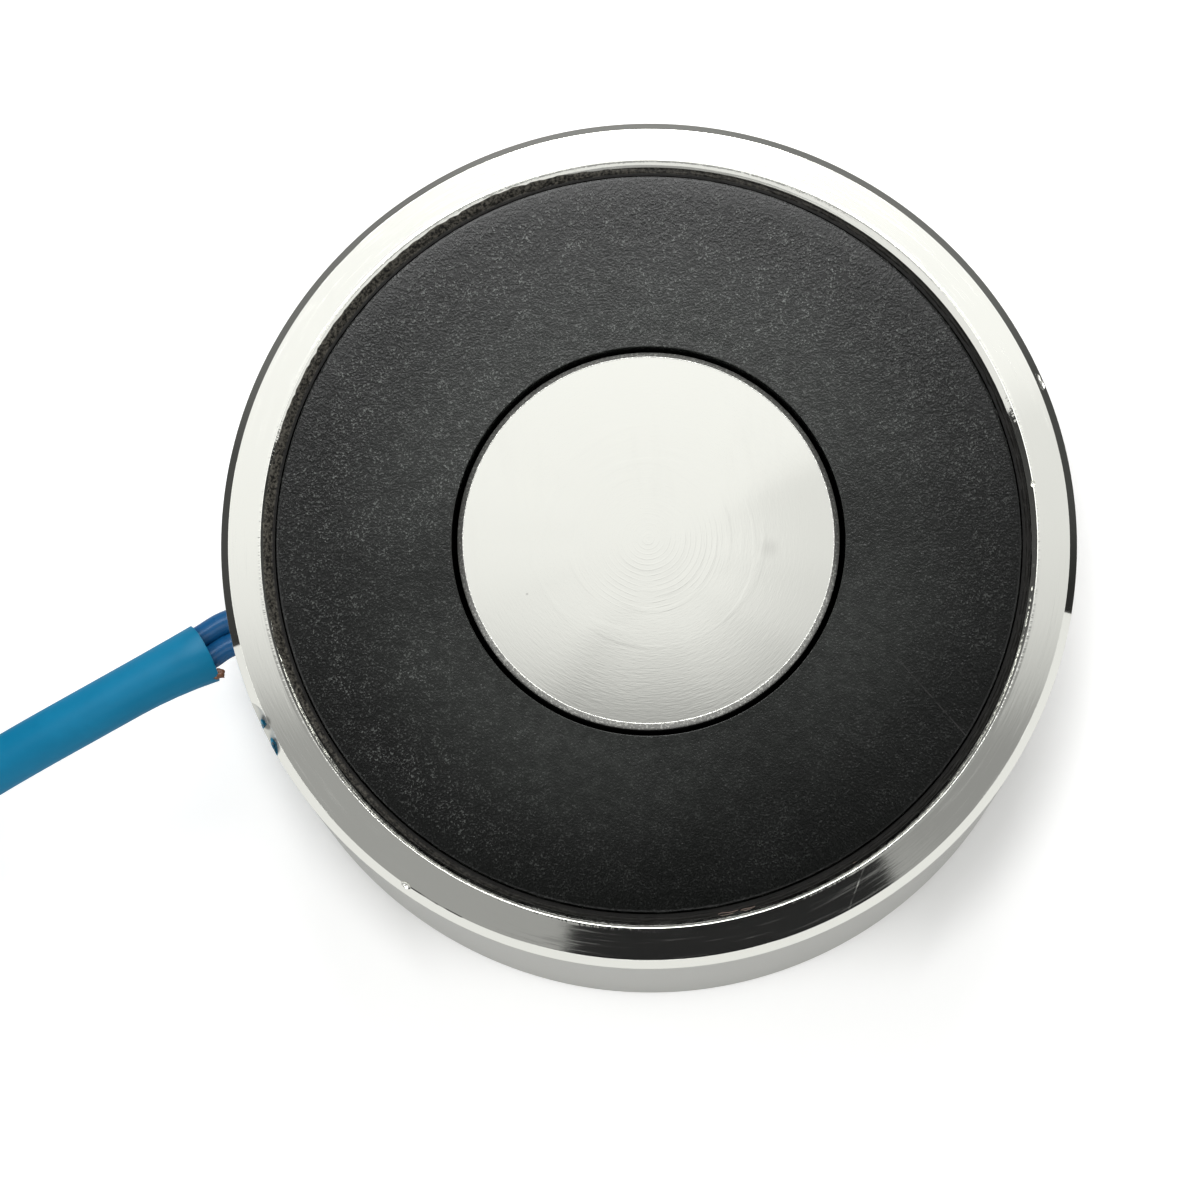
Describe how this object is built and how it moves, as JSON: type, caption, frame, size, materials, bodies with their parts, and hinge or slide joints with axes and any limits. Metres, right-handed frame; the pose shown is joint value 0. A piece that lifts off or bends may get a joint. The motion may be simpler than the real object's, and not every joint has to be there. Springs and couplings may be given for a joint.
{
  "type": "lifting electromagnet",
  "caption": "Round pot electromagnet with a flat steel holding face, a potted coil behind a black ring, a tapped back and leads in a blue sleeve.",
  "frame": {"origin": "middle of the flat back face, which is the side it lies on", "axes": "+Z out of the holding face along the core, -X the way the leads leave the side wall"},
  "size_m": [0.1447, 0.0708, 0.03],
  "materials": {
    "plated_steel": "turned and bright plated",
    "bobbin_plastic": "black, filled and faintly grainy",
    "winding_copper": "enamelled copper wire",
    "winding_tape": "amber tape",
    "potting_resin": "clear to greyish cast resin",
    "solder": "tin solder",
    "splice_tube": "black shrink tube",
    "lead_copper": "bare stranded copper",
    "lead_insulation": "dark blue soft insulation",
    "sleeve_plastic": "sky blue shrink sleeve",
    "tie_plastic": "black moulded tie",
    "tinned_copper": "tinned strands"
  },
  "bodies": {
    "root": {"magnet_body": "plated_steel", "coil_bobbin": "bobbin_plastic", "coil_winding": "winding_copper", "coil_tape": "winding_tape", "resin_fill": "potting_resin", "coil_start_tail": "winding_copper", "coil_finish_tail": "winding_copper", "solder_joint_a": "solder", "solder_joint_b": "solder", "splice_sleeve_a": "splice_tube", "splice_sleeve_b": "splice_tube", "lead_core_a": "lead_copper", "lead_core_b": "lead_copper", "lead_wire_a": "lead_insulation", "lead_wire_b": "lead_insulation", "lead_sleeve": "sleeve_plastic", "lead_sleeve_coil": "sleeve_plastic", "coil_tie": "tie_plastic", "lead_tail_a": "lead_insulation", "lead_tail_b": "lead_insulation", "tinned_tip_a": "tinned_copper", "tinned_tip_b": "tinned_copper"}
  },
  "joints": []
}
